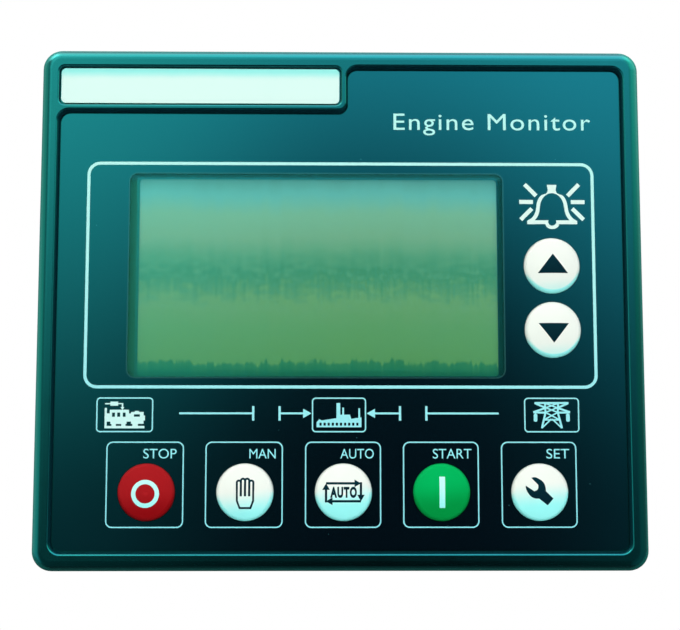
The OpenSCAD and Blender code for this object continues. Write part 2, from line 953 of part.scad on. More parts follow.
module terminal_header(k) {
    t = terminals[k];
    color([0.04, 0.36, 0.14]) upright() at_terminal(t)
        difference() {
            layer(header_end_z, main_back_z) square([header_w(t), header_h], center = true);
            layer(header_end_z - cut, main_back_z - header_floor)
                square([terminal_w(t), header_h - 2 * header_wall], center = true);
            at_poles(t)
                layer(main_back_z - header_floor - cut, main_back_z + cut)
                    square(pin_w + slip, center = true);
        }
}

module header_pins() {
    color([0.8, 0.78, 0.7]) upright()
        for (t = terminals)
            at_terminal(t)
                at_poles(t) layer(main_back_z - pin_l, main_back_z) square(pin_w, center = true);
}

module plug_section() {
    nose = header_h / 2 - header_wall - nose_gap;
    chamfer = 1.6;
    half = plug_h / 2;
    tip = main_back_z - header_floor - nose_tip_gap;
    polygon([
        [-nose, tip], [-nose, plug_z], [-half, plug_z], [-half, plug_end_z],
        [half - chamfer, plug_end_z], [half, plug_end_z + chamfer], [half, plug_z],
        [nose, plug_z], [nose, tip]
    ]);
}

module terminal_plug(k) {
    t = terminals[k];
    w = terminal_w(t) - 2 * nose_gap;
    tip = main_back_z - header_floor - nose_tip_gap;
    color([0.06, 0.45, 0.18]) upright() at_terminal(t)
        difference() {
            translate([-w / 2, 0, 0])
                rotate([90, 0, 90]) linear_extrude(height = w) plug_section();
            at_poles(t) {
                layer(main_back_z - pin_l - fit, tip + cut) square(pin_w + 2 * fit, center = true);
                layer(plug_end_z - cut, plug_end_z + wire_depth)
                    square([wire_w, wire_h], center = true);
                translate([0, 0, clamp_z])
                    rotate([-90, 0, 0]) cylinder(r = clamp_r + slip, h = plug_h);
            }
            for (i = [1:t[0] - 1])
                translate([(i - t[0] / 2) * t[1], plug_h / 2, (plug_z + plug_end_z) / 2])
                    cube([groove_w, 2 * groove_depth, plug_l + cut], center = true);
        }
}

module terminal_screws(k) {
    t = terminals[k];
    sunk = 0.4;
    slot_w = 0.5;
    color([0.75, 0.75, 0.75]) upright() at_terminal(t) at_poles(t)
        translate([0, 0, clamp_z])
            rotate([-90, 0, 0])
                difference() {
                    translate([0, 0, wire_h / 2]) cylinder(r = clamp_r, h = plug_h / 2 - sunk - wire_h / 2);
                    translate([0, 0, plug_h / 2])
                        cube([3 * clamp_r, slot_w, 4 * sunk], center = true);
                }
}

front_bezel();
name_plate();
front_overlay();
display_lens();
panel_gasket();
push_button(0, [0.75, 0.05, 0.04]);  // stop_button
push_button(1, [0.9, 0.97, 0.95]);  // manual_button
push_button(2, [0.9, 0.97, 0.95]);  // auto_button
push_button(3, [0.03, 0.65, 0.25]);  // start_button
push_button(4, [0.9, 0.97, 0.95]);  // set_button
push_button(5, [0.9, 0.97, 0.95]);  // up_button
push_button(6, [0.9, 0.97, 0.95]);  // down_button
plunger(0);  // stop_plunger
plunger(1);  // manual_plunger
plunger(2);  // auto_plunger
plunger(3);  // start_plunger
plunger(4);  // set_plunger
plunger(5);  // up_plunger
plunger(6);  // down_plunger
switch_bases();
indicator_leds();
lcd_frame();
lcd_glass();
lcd_backlight();
display_board();
board_header();
board_socket();
board_spacers();
board_screws();
main_board();
processor_chip();
output_relays();
current_transformers();
capacitors();
link_port();
rear_housing();
housing_screws();
left_clip();
right_clip();
jack_screws();
terminal_header(0);  // supply_header
terminal_header(1);  // sensor_header
terminal_header(2);  // genset_header
terminal_header(3);  // mains_header
terminal_header(4);  // current_header
header_pins();
terminal_plug(0);  // supply_plug
terminal_plug(1);  // sensor_plug
terminal_plug(2);  // genset_plug
terminal_plug(3);  // mains_plug
terminal_plug(4);  // current_plug
terminal_screws(0);  // supply_screws
terminal_screws(1);  // sensor_screws
terminal_screws(2);  // genset_screws
terminal_screws(3);  // mains_screws
terminal_screws(4);  // current_screws
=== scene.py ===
"""Looks of a panel-mounted generating-set controller: a finish for every solid, the printed signs
on the overlay and on the buttons, the studio and the camera. Places are in metres, in the frame of
the solids: X to the right, Z up, and the front facing -Y."""
import math

import bpy
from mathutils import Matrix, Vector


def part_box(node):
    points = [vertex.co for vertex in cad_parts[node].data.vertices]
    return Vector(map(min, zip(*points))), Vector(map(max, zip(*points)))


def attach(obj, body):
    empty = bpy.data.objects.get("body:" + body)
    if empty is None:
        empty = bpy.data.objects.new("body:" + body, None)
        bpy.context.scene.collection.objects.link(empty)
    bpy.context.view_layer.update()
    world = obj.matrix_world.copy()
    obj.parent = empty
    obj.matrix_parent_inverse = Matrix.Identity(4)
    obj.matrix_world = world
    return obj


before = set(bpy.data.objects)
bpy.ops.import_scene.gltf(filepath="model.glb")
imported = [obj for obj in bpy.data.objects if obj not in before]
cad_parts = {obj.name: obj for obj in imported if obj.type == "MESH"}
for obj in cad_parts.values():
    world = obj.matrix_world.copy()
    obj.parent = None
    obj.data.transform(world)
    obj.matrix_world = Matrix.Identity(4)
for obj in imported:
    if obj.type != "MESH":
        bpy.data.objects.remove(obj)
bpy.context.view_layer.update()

MM = 0.001
KEYS = ("stop", "manual", "auto", "start", "set", "up", "down")
PLUGS = ("supply", "sensor", "genset", "mains", "current")


# Shader maths

class Wire:
    """One shader socket. Sums on it add Math nodes, and add() puts any other node in its tree."""

    def __init__(self, tree, socket=None):
        self.tree = tree
        self.socket = socket

    def add(self, kind, settings=None, sockets=None, out=0):
        node = self.tree.nodes.new("ShaderNode" + kind)
        for key, value in (settings or {}).items():
            if key == "stops":
                set_stops(node.color_ramp, value)
            else:
                setattr(node, key, value)
        for key, value in (sockets or {}).items():
            if isinstance(value, Wire):
                self.tree.links.new(value.socket, node.inputs[key])
            else:
                node.inputs[key].default_value = value
        return Wire(self.tree, node.outputs[out] if node.outputs else None)

    def math(self, operation, *values):
        return self.add("Math", {"operation": operation}, dict(enumerate(values)))

    def __add__(self, other):
        return self.math("ADD", self, other)

    __radd__ = __add__

    def __sub__(self, other):
        return self.math("SUBTRACT", self, other)

    def __rsub__(self, other):
        return self.math("SUBTRACT", other, self)

    def __mul__(self, other):
        return self.math("MULTIPLY", self, other)

    __rmul__ = __mul__

    def __truediv__(self, other):
        return self.math("DIVIDE", self, other)

    def __gt__(self, other):
        return self.math("GREATER_THAN", self, other)

    def __lt__(self, other):
        return self.math("LESS_THAN", self, other)

    def __abs__(self):
        return self.math("ABSOLUTE", self)

    def between(self, low, high):
        """0 below low, 1 above high and smooth between them."""
        settings = {"interpolation_type": "SMOOTHSTEP"}
        return self.add("MapRange", settings, {"Value": self, "From Min": low, "From Max": high})

    def mix(self, low, high):
        """Goes from one colour to another as this value goes from 0 to 1."""
        return self.add("Mix", {"data_type": "RGBA"}, {0: self, 6: low, 7: high}, out=2)

    def noise(self, size, detail):
        """Noise on this place, with spots of about the size given, in millimetres."""
        sockets = {"Vector": self, "Scale": 1 / (size * MM), "Detail": detail}
        return self.add("TexNoise", None, sockets, "Fac")

    def length(self):
        return self.add("VectorMath", {"operation": "LENGTH"}, {0: self}, "Value")

    def part(self, name):
        return self.add("SeparateXYZ", None, {"Vector": self}, name)

    def axis(self, name):
        """One part of this place, in millimetres."""
        return self.part(name) / MM


def set_stops(ramp, stops):
    while len(ramp.elements) < len(stops):
        ramp.elements.new(1)
    for element, (position, colour) in zip(ramp.elements, stops):
        element.position = position
        element.color = colour


def rgb(red, green, blue):
    return (red, green, blue, 1)


def dim(colour, share):
    return tuple(part * share for part in colour[:3]) + (1,)


def new_finish(name):
    """A new material with an empty tree, as a Wire, and the place of a point on the piece."""
    material = bpy.data.materials.new(name)
    material.use_nodes = True
    material.node_tree.nodes.clear()
    start = Wire(material.node_tree)
    return material, start, start.add("TexCoord", None, None, "Object")


def close_finish(start, sockets, height=None, depth=0.0):
    """Ends a material in a Principled shader. A height from 0 to 1 goes into its normal, and its
    full depth is in millimetres."""
    if height is not None:
        bump = {"Height": height, "Distance": depth * MM, "Strength": 1.0}
        sockets["Normal"] = start.add("Bump", None, bump)
    shader = start.add("BsdfPrincipled", None, sockets)
    start.add("OutputMaterial", None, {"Surface": shader})


# Finishes

BLACK = rgb(0, 0, 0)
WHITE = rgb(1, 1, 1)
COOL_SHEEN = rgb(0.04, 0.92, 1.0)
GREEN_SHEEN = rgb(0.045, 0.97, 0.94)
# Painted sheen on the bezel's outward faces and painted light on its inner walls
PAINTED_EDGE_SHEEN = rgb(0.003, 0.055, 0.043)
PAINTED_WALL_LIGHT = rgb(0.002, 0.024, 0.034)
# Painted light on the film's cut edge
PAINTED_CUT_EDGE_LIGHT = rgb(0.03, 0.2, 0.19)
FILM_FACE = rgb(0.001, 0.0028, 0.0056)

# Depths and sizes of these finishes, in millimetres
FILM_SKIN = 0.04
LENS_SKIN = 0.4
FRAME_LIP = 4.1
DISPLAY_COLUMN = 3.1
DISPLAY_DOT = 0.42


def case_plastic(name, colour, rough, grain_depth, painted_edges=False):
    """Spark-textured dark plastic with faint mould flow and rubbed, slightly paler high spots.
    Where asked for, the faces that are turned outwards are duller and take a greener painted sheen,
    and those that are turned in take a bluer painted light on their dark walls."""
    material, start, place = new_finish(name)
    flow = place.noise(26, 3)
    grain = place.noise(0.45, 2)
    rubbed = place.noise(7, 4).between(0.55, 0.75)
    tone = flow.mix(dim(colour, 0.75), dim(colour, 1.25))
    tone = (rubbed * 0.3).mix(tone, dim(colour, 1.9))
    dull = rough + grain * 0.08 - rubbed * 0.04
    if painted_edges:
        normal = start.add("NewGeometry", None, None, "Normal")
        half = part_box("front_bezel")[1]
        sideways = normal.part("X") * place.part("X") / half[0]
        outwards = sideways + normal.part("Z") * place.part("Z") / half[2]
        # Painted light: a greener painted sheen on faces turned outwards, a bluer painted light on
        # faces turned in
        edge = outwards.between(0.55, 0.95)
        inwards = (0 - outwards).between(0.2, 0.6)
        tone = edge.mix(inwards.mix(tone, PAINTED_WALL_LIGHT), PAINTED_EDGE_SHEEN)
        dull = dull + edge * 0.45
    close_finish(start, {
        "Base Color": tone,
        "Roughness": dull,
        "IOR": 1.6,
        "Specular IOR Level": 1.0,
        "Specular Tint": GREEN_SHEEN,
    }, grain, grain_depth)
    return material


def overlay_film(name, colour, rough):
    """Satin printed film: a very fine velvet grain, a few specks of dust and a cut edge that is
    painted paler, as painted light.
    """
    material, start, place = new_finish(name)
    velvet = place.noise(0.18, 2)
    cloud = place.noise(18, 2)
    speck_map = {"Vector": place, "Scale": 1 / (5.5 * MM), "Randomness": 1.0}
    speck = start.add("TexVoronoi", None, speck_map, "Distance") < 0.018
    tone = cloud.mix(dim(colour, 0.85), dim(colour, 1.15))
    tone = (speck * 0.35).mix(tone, rgb(0.1, 0.25, 0.25))
    # Painted light: the cut edge of the film is painted paler than its face
    edge = place.axis("Y") > (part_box("front_overlay")[0][1] / MM + FILM_SKIN)
    tone = edge.mix(tone, PAINTED_CUT_EDGE_LIGHT)
    close_finish(start, {
        "Base Color": tone,
        "Roughness": rough + velvet * 0.04 + speck * 0.2,
        "IOR": 1.6,
        "Specular IOR Level": 1.0,
        "Specular Tint": COOL_SHEEN,
    }, velvet, 0.0015)
    return material


def smooth_plastic(name, colour, rough, shine=0.4):
    """Smooth moulded plastic with a soft unevenness in colour and gloss."""
    material, start, place = new_finish(name)
    cloud = place.noise(6, 3)
    skin = place.noise(0.7, 3)
    close_finish(start, {
        "Base Color": cloud.mix(dim(colour, 0.88), colour),
        "Roughness": rough + skin * 0.12,
        "Specular IOR Level": shine,
    }, skin, 0.006)
    return material


def plate_enamel(name):
    """White enamel, with painted shade along the top edge, over which the recess stands: cooler and
    darker there.
    """
    material, start, place = new_finish(name)
    cloud = place.noise(9, 3)
    skin = place.noise(0.7, 3)
    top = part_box("name_plate")[1][2] / MM
    # Painted shade: cooler and darker under the recess's top wall
    shade = place.axis("Z").between(top - 3.2, top) + (cloud - 0.5) * 0.3
    tone = shade.between(0.0, 1.0).mix(rgb(0.71, 0.91, 0.82), rgb(0.32, 0.86, 0.77))
    close_finish(start, {
        "Base Color": tone,
        "Roughness": 0.35 + skin * 0.12,
        "Specular IOR Level": 0.3,
    }, skin, 0.006)
    return material


def close_ink(start, place, tone):
    """Ends an ink's material, with a slightly uneven coat."""
    coat = place.noise(0.8, 3)
    close_finish(start, {
        "Base Color": (coat * 0.12).mix(tone, BLACK),
        "Roughness": 0.45 + coat * 0.1,
        "Specular IOR Level": 0.15,
        "Specular Tint": COOL_SHEEN,
    }, coat, 0.003)


def printing_ink(name, colour, lower):
    """Screen-printed ink, darker and cooler towards the foot of the overlay, as painted shade where
    less light falls.
    """
    material, start, place = new_finish(name)
    close_ink(start, place, place.axis("Z").between(-50, 40).mix(lower, colour))
    return material


def mask_ink(name):
    """The green mask on the lens, with painted light: paler towards the left, where the light
    falls, darkest on its right side and palest along its top, painted light where the film's edge
    shades it.
    """
    material, start, place = new_finish(name)
    # Painted light: paler towards the left, where the light falls
    tone = place.axis("X").between(-46, 30).mix(rgb(0.016, 0.135, 0.062), rgb(0.005, 0.05, 0.034))
    # Painted light along the top, under the film's edge
    top = place.axis("Z").between(29.2, 30.4)
    close_ink(start, place, top.mix(tone, rgb(0.034, 0.24, 0.21)))
    return material


def key_plastic(name, colour, shaded, sheen):
    """Satin key plastic, cooler on the flank that is turned down and away from the left light. The
    keys at the foot of the overlay take more of that shade than the two scroll keys."""
    material, start, place = new_finish(name)
    cloud = place.noise(6, 3)
    skin = place.noise(0.7, 3)
    normal = start.add("NewGeometry", None, None, "Normal")
    turned = normal.part("X") * 0.07 - normal.part("Z")
    lift = place.axis("X").between(-25, 0) * 0.09 - place.axis("Z").between(-30, -10) * 0.27
    tone = (turned + lift).between(-0.04, 0.28).mix(colour, shaded)
    close_finish(start, {
        "Base Color": (cloud * 0.08).mix(tone, BLACK),
        "Roughness": 0.5 + skin * 0.12,
        "Specular IOR Level": 0.12,
        "Specular Tint": sheen,
    }, skin, 0.006)
    return material


def display_face(name):
    """Green display glass: bluish at the top, a painted reflection of the film's sheen, and darker
    along its very top, a painted shade under the window's edge; with a mottled band across its
    middle and a darker strip at the bottom, whose edges step up and down from column to column, and
    a faint grid of dots."""
    material, start, place = new_finish(name)
    low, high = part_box("lcd_frame")
    rise = (place.axis("Z") - low[2] / MM - FRAME_LIP) / ((high[2] - low[2]) / MM - 2 * FRAME_LIP)
    column = start.add("Mapping", None, {"Vector": place, "Scale": (1, 0, 0)})
    cells = {"Vector": column, "Scale": 1 / (DISPLAY_COLUMN * MM)}
    cell = start.add("TexVoronoi", None, cells, "Color")
    step = start.add("SeparateColor", None, {"Color": cell}, "Red")
    wave = column.noise(24, 2)
    comb = column.noise(1.1, 2)
    mottle = start.add("Mapping", None, {"Vector": place, "Scale": (0.5, 1, 1)}).noise(1.2, 3)
    band = rise.between(0.2, 0.45) * (1 - rise.between(0.48, 0.64))
    foot = 1 - rise.between(0.1, 0.18)
    level = rise + (step - 0.5) * 0.02 + (wave - 0.5) * 0.05
    level = level + (comb - 0.5) * (0.04 + band * 0.18 + foot * 0.04)
    level = level + (mottle - 0.5) * (0.03 + band * 0.22)
    # The top stops hold painted light: bluish as a painted reflection, then darker at the very top
    # as painted shade
    tone = start.add("ValToRGB", {"stops": [
        (0.02, rgb(0.0144, 0.215, 0.09)),
        (0.065, rgb(0.036, 0.255, 0.09)),
        (0.08, rgb(0.13, 0.385, 0.11)),
        (0.24, rgb(0.145, 0.41, 0.13)),
        (0.37, rgb(0.182, 0.43, 0.15)),
        (0.5, rgb(0.064, 0.32, 0.13)),
        (0.6, rgb(0.12, 0.39, 0.172)),
        (0.7, rgb(0.236, 0.485, 0.236)),
        (0.82, rgb(0.25, 0.54, 0.29)),
        (0.92, rgb(0.172, 0.55, 0.435)),
        (1.0, rgb(0.145, 0.4, 0.28)),
    ]}, {"Fac": level}, "Color")
    grains = band * mottle.between(0.45, 0.65) * 0.35
    tone = grains.mix(tone, rgb(0.15, 0.42, 0.19))
    dots = {"Vector": place, "Scale": 1 / (DISPLAY_DOT * MM), "Randomness": 0.0}
    grid = start.add("TexVoronoi", {"distance": "CHEBYCHEV"}, dots, "Distance") > 0.46
    close_finish(start, {
        "Base Color": (grid * 0.07).mix(tone, rgb(0.02, 0.1, 0.06)),
        "Roughness": 0.45 + mottle * 0.1,
        "Specular IOR Level": 0.06,
    })
    return material


def clear_lens(name):
    """Clear acrylic with a faint haze. Its outer face mirrors the room as the film round it does,
    but less so over the display's frame."""
    material, start, place = new_finish(name)
    haze = place.noise(9, 4)
    outer = place.axis("Y") < (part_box("display_lens")[0][1] / MM + LENS_SKIN)
    low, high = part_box("lcd_frame")
    inside = 1
    for way, i in (("X", 0), ("Z", 2)):
        middle, half = (high[i] + low[i]) / 2 / MM, (high[i] - low[i]) / 2 / MM - FRAME_LIP
        inside = inside * (abs(place.axis(way) - middle) < half)
    close_finish(start, {
        "Base Color": haze.mix(rgb(0.001, 0.006, 0.005), rgb(0.003, 0.014, 0.011)),
        "Roughness": 0.17 + haze * 0.05,
        "Alpha": outer * (0.06 + inside * 0.13 + haze * 0.02),
        "IOR": 3.0,
        "Specular IOR Level": 1.0,
        "Specular Tint": COOL_SHEEN,
    })
    return material


def foam_rubber(name):
    """Closed-cell sealing foam, matt and pitted."""
    material, start, place = new_finish(name)
    cells = start.add("TexVoronoi", None, {"Vector": place, "Scale": 1 / (0.5 * MM)}, "Distance")
    cloud = place.noise(5, 3)
    close_finish(start, {
        "Base Color": cloud.mix(rgb(0.012, 0.013, 0.014), rgb(0.03, 0.032, 0.034)),
        "Roughness": 0.8 + cells * 0.15,
        "Specular IOR Level": 0.2,
    }, cells, 0.08)
    return material


def metal_finish(name, colour, rough):
    """Plated or turned metal with fine machining marks and duller patches."""
    material, start, place = new_finish(name)
    marks = start.add("Mapping", None, {"Vector": place, "Scale": (1, 9, 1)}).noise(0.5, 3)
    dull = place.noise(2.5, 3).between(0.4, 0.75)
    close_finish(start, {
        "Base Color": dull.mix(colour, dim(colour, 0.6)),
        "Metallic": 1.0,
        "Roughness": rough + dull * 0.2 + marks * 0.1,
    }, marks, 0.006)
    return material


def circuit_board(name):
    """Green solder mask over copper tracks, with tinned pads here and there."""
    material, start, place = new_finish(name)
    wave = {"Vector": place, "Scale": 420.0, "Distortion": 5.0, "Detail": 1.0}
    tracks = start.add("TexWave", {"bands_direction": "DIAGONAL"}, wave).between(0.55, 0.62)
    pad_map = {"Vector": place, "Scale": 1 / (2.54 * MM), "Randomness": 0.25}
    pads = start.add("TexVoronoi", None, pad_map, "Distance") < 0.13
    mask = tracks.mix(rgb(0.005, 0.09, 0.03), rgb(0.012, 0.2, 0.06))
    close_finish(start, {
        "Base Color": pads.mix(mask, rgb(0.6, 0.6, 0.58)),
        "Metallic": pads * 0.9,
        "Roughness": 0.35 + pads * 0.1,
    }, tracks + pads, 0.03)
    return material


INK_LIGHT = printing_ink("ink_pale", rgb(0.54, 0.93, 0.84), rgb(0.3, 0.79, 0.84))
INK_WARM = printing_ink("ink_warm", rgb(0.82, 0.95, 0.85), rgb(0.62, 0.92, 0.86))
INK_DARK = printing_ink("ink_dark", rgb(0.002, 0.012, 0.02), rgb(0.002, 0.012, 0.02))
INK_MASK = mask_ink("ink_mask")
# Painted highlight for the film's raised edge round the display window
WINDOW_EDGE_HIGHLIGHT = overlay_film("window_edge_painted_highlight", rgb(0.014, 0.035, 0.025), 0.2)
INK_FILM = overlay_film("ink_film", FILM_FACE, 0.1)
KEY_SHADE = rgb(0.36, 0.96, 0.91)
WHITE_BUTTON = key_plastic("white_button", rgb(0.93, 0.92, 0.83), KEY_SHADE, COOL_SHEEN)
INK_WHITE = key_plastic("ink_white", rgb(0.58, 0.94, 0.88), KEY_SHADE, COOL_SHEEN)

finishes = {
    # The bezel takes the painted edge sheen and the painted wall light
    "front_bezel": case_plastic("bezel_plastic", rgb(0.0006, 0.003, 0.0036), 0.16, 0.006, True),
    "rear_housing": case_plastic("housing_plastic", rgb(0.002, 0.011, 0.012), 0.42, 0.012),
    "front_overlay": overlay_film("overlay_film", FILM_FACE, 0.1),
    "name_plate": plate_enamel("plate_enamel"),
    "display_lens": clear_lens("lens_acrylic"),
    "panel_gasket": foam_rubber("gasket_foam"),
    "lcd_frame": smooth_plastic("frame_black", rgb(0.012, 0.055, 0.034), 0.5, 0.05),
    "lcd_glass": display_face("display_green"),
    "lcd_backlight": smooth_plastic("backlight_diffuser", rgb(0.8, 0.85, 0.7), 0.5),
    "display_board": circuit_board("display_board_mask"),
    "main_board": circuit_board("main_board_mask"),
    "indicator_leds": smooth_plastic("lamp_resin", rgb(0.7, 0.75, 0.55), 0.15),
    "board_spacers": metal_finish("spacer_brass", rgb(0.72, 0.52, 0.2), 0.3),
    "header_pins": metal_finish("pin_tin", rgb(0.75, 0.73, 0.66), 0.3),
    "output_relays": smooth_plastic("relay_blue", rgb(0.02, 0.1, 0.36), 0.3),
    "current_transformers": smooth_plastic("coil_resin", rgb(0.03, 0.03, 0.034), 0.5),
    "capacitors": smooth_plastic("capacitor_sleeve", rgb(0.02, 0.03, 0.1), 0.3),
    "stop_button": key_plastic(
        "red_button", rgb(0.39, 0.009, 0.012), rgb(0.29, 0.003, 0.005), rgb(1.0, 0.3, 0.3)
    ),
    "start_button": key_plastic(
        "green_button", rgb(0.001, 0.42, 0.09), rgb(0.001, 0.29, 0.05), COOL_SHEEN
    ),
}
steel = metal_finish("screw_steel", rgb(0.6, 0.61, 0.62), 0.3)
black = smooth_plastic("fitting_black", rgb(0.02, 0.021, 0.022), 0.45)
for plug in PLUGS:
    finishes[plug + "_plug"] = smooth_plastic(plug + "_plug_green", rgb(0.012, 0.3, 0.09), 0.35)
    finishes[plug + "_header"] = smooth_plastic(plug + "_header_green", rgb(0.01, 0.24, 0.07), 0.4)
    finishes[plug + "_screws"] = steel
for node in ("board_screws", "housing_screws", "jack_screws"):
    finishes[node] = steel
for key in KEYS:
    finishes.setdefault(key + "_button", WHITE_BUTTON)
for node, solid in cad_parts.items():
    solid.data.materials.clear()
    solid.data.materials.append(finishes.get(node, black))


# Flat printing. Signs are drawn lying down, X to the right and Y up, in millimetres. INK is how
# thick the printing is, OVER how far ink lies above the ink under it, and HAIR the step between the
# shapes of one group, which starts again after HAIR_COUNT shapes.

INK = 0.02
OVER = 0.012
HAIR = 0.0004
HAIR_COUNT = 23


def pick(*pieces):
    bpy.ops.object.select_all(action="DESELECT")
    for piece in pieces:
        piece.select_set(True)
        bpy.context.view_layer.objects.active = piece


def settle(piece):
    pick(piece)
    bpy.ops.object.transform_apply(location=True, rotation=True, scale=True)


def edit(piece):
    pick(piece)
    bpy.ops.object.mode_set(mode="EDIT")
    bpy.ops.mesh.select_all(action="SELECT")


def leave_edit():
    bpy.ops.object.mode_set(mode="OBJECT")


def tile(x, y, w, h, corner=0.0, line=0.0, turn=0.0):
    """A flat rectangle about a centre, with round corners, or its border where line is set."""
    pick()
    spot = (x * MM, y * MM, 0)
    bpy.ops.mesh.primitive_plane_add(size=MM, location=spot, rotation=(0, 0, math.radians(turn)))
    piece = bpy.context.object
    piece.scale = (w, h, 1)
    settle(piece)
    edit(piece)
    if corner:
        bpy.ops.mesh.bevel(offset=corner * MM, segments=8, affect="VERTICES")
    if line:
        bpy.ops.mesh.inset(thickness=line * MM)
        bpy.ops.mesh.delete(type="FACE")
    leave_edit()
    return piece


def stroke(x0, y0, x1, y1, width):
    """A straight printed line between two points."""
    run = math.hypot(x1 - x0, y1 - y0)
    turn = math.degrees(math.atan2(y1 - y0, x1 - x0))
    return tile((x0 + x1) / 2, (y0 + y1) / 2, run, width, turn=turn)


def ring(x, y, r, line, sides=64):
    """A flat ring about a centre, with its outer radius and the width of its line."""
    pick()
    bpy.ops.mesh.primitive_circle_add(
        vertices=sides, radius=r * MM, fill_type="NGON", location=(x * MM, y * MM, 0)
    )
    piece = bpy.context.object
    settle(piece)
    edit(piece)
    bpy.ops.mesh.inset(thickness=line * MM)
    bpy.ops.mesh.delete(type="FACE")
    leave_edit()
    return piece


def outline(points):
    """A flat shape from a few corners, listed anticlockwise."""
    mesh = bpy.data.meshes.new("outline")
    corners = [(x * MM, y * MM, 0) for x, y in points]
    mesh.from_pydata(corners, [], [range(len(corners))])
    piece = bpy.data.objects.new("outline", mesh)
    bpy.context.collection.objects.link(piece)
    return piece


def curved(x, y, *loops):
    """A flat shape with smooth edges about a place. Its first loop is the outside and the others
    are holes. A point with a third value keeps a sharp corner."""
    curve = bpy.data.curves.new("curved", "CURVE")
    curve.dimensions = "2D"
    curve.fill_mode = "BOTH"
    curve.resolution_u = 6
    for loop in loops:
        spline = curve.splines.new("BEZIER")
        spline.use_cyclic_u = True
        spline.bezier_points.add(len(loop) - 1)
        for point, spot in zip(spline.bezier_points, loop):
            point.co = ((x + spot[0]) * MM, (y + spot[1]) * MM, 0)
            point.handle_left_type = point.handle_right_type = "VECTOR" if spot[2:] else "AUTO"
    piece = bpy.data.objects.new("curved", curve)
    bpy.context.collection.objects.link(piece)
    pick(piece)
    bpy.ops.object.convert(target="MESH")
    piece = bpy.context.object
    if piece.data.polygons[0].normal.z < 0:
        edit(piece)
        bpy.ops.mesh.flip_normals()
        leave_edit()
    return piece


def both_sides(half):
    """Closes half an outline, listed up its right side, with its mirror image on the left."""
    return half + [(-spot[0],) + tuple(spot[1:]) for spot in half[::-1]]


def arrow(x, y, length, width, turn):
    """A solid arrow head with its tip at a point, pointing right before it is turned."""
    turn = math.radians(turn)
    corners = [(0, 0), (-length, width / 2), (-length, -width / 2)]
    return outline([
        (x + a * math.cos(turn) - b * math.sin(turn), y + a * math.sin(turn) + b * math.cos(turn))
        for a, b in corners
    ])


def cap_height():
    """Height of a flat-topped capital in the lettering at its plain size."""
    pick()
    bpy.ops.object.text_add()
    bpy.context.object.data.body = "H"
    bpy.ops.object.convert(target="MESH")
    letter = bpy.context.object
    height = max(v.co.y for v in letter.data.vertices)
    bpy.data.objects.remove(letter)
    return height


CAP_HEIGHT = cap_height()


def word(text, right, base, cap, width, weight=0.0, spread=1.0):
    """Lettering that ends at a place on its right, fitted to a cap height and a width."""
    pick()
    bpy.ops.object.text_add()
    piece = bpy.context.object
    piece.data.body = text
    piece.data.offset = weight
    piece.data.space_character = spread
    piece.data.resolution_u = 6
    bpy.ops.object.convert(target="MESH")
    piece = bpy.context.object
    low = min(v.co.x for v in piece.data.vertices)
    high = max(v.co.x for v in piece.data.vertices)
    piece.scale = (width * MM / (high - low), cap * MM / CAP_HEIGHT, 1)
    piece.location = (right * MM - high * piece.scale.x, base * MM, 0)
    settle(piece)
    return piece


def hair(i):
    return i % HAIR_COUNT * HAIR


def inked(ink, lift, pieces):
    """Gives a group of flat shapes one ink and a height above the surface, in millimetres. Each
    lies a hair above the one before, so that no two faces share a plane where shapes overlap."""
    for i, piece in enumerate(pieces):
        piece.data.materials.clear()
        piece.data.materials.append(ink)
        piece.location.z = (lift + hair(i)) * MM
    return pieces


def joined(pieces, name):
    for piece in pieces:
        settle(piece)
    pick(*pieces)
    bpy.ops.object.join()
    piece = bpy.context.object
    piece.name = piece.data.name = name
    return piece


def stood_up(piece, x, y, z):
    """Turns a lying sign up to face the front, and moves it to its place in metres."""
    piece.rotation_euler = (math.radians(90), 0, 0)
    piece.location = (x, y, z)
    settle(piece)


def modified(piece, kind, **settings):
    pick(piece)
    modifier = piece.modifiers.new(kind.lower(), kind)
    for key, value in settings.items():
        setattr(modifier, key, value)
    bpy.ops.object.modifier_apply(modifier=modifier.name)


# Signs on the overlay, in millimetres

FRAME_BOX = (-58.7, -18.95, 58.7, 33.6)
FRAME_CORNER = 3.0
FRAME_LINE = 0.7
TITLE_RIGHT = 58.2
TITLE_BASE = 41.4
TITLE_CAP = 3.85
TITLE_WIDTH = 46.0
BELL_PLACE = (48.9, 23.4)
BELL_RAY = 0.95
ICON_ROW = (-28.9, -21.0)
ICON_BOXES = ((-55.6, -42.7), (-6.66, 5.68), (41.72, 54.3))
ICON_CORNER = 0.9
KEY_ROW = (-50.4, -31.0)
KEY_BOXES = ((-53.15, -35.6), (-30.75, -13.2), (-8.2, 9.05), (14.0, 31.25), (36.3, 53.5))
KEY_CORNER = 1.5
KEY_WORDS = (("STOP", 7.55), ("MAN", 5.95), ("AUTO", 7.6), ("START", 8.8), ("SET", 5.2))
WORD_INSET = 1.65
WORD_BASE = -34.8
WORD_CAP = 2.15
THIN = 0.29
MIMIC_Y = -24.6
MIMIC_RUNS = ((-36.8, -20.0), (-14.0, -8.0), (7.0, 13.4), (19.4, 35.9))
MIMIC_BARS = (-20.0, -14.0, 13.4, 19.4)
MIMIC_TIPS = ((-6.75, 0), (5.8, 180))
TIP_SIZE = (1.9, 2.1)
BAR = 0.43
BAR_TALL = 3.3
BAR_WIDE = 0.52
LENS_LEDGE = 1.5
PICTURE_BOX = (-46.7, -16.0, 36.2, 29.85)
KEY_LIP = (6.54, 7.0)


def border(x0, y0, x1, y1, corner, line):
    return tile((x0 + x1) / 2, (y0 + y1) / 2, x1 - x0, y1 - y0, corner, line)


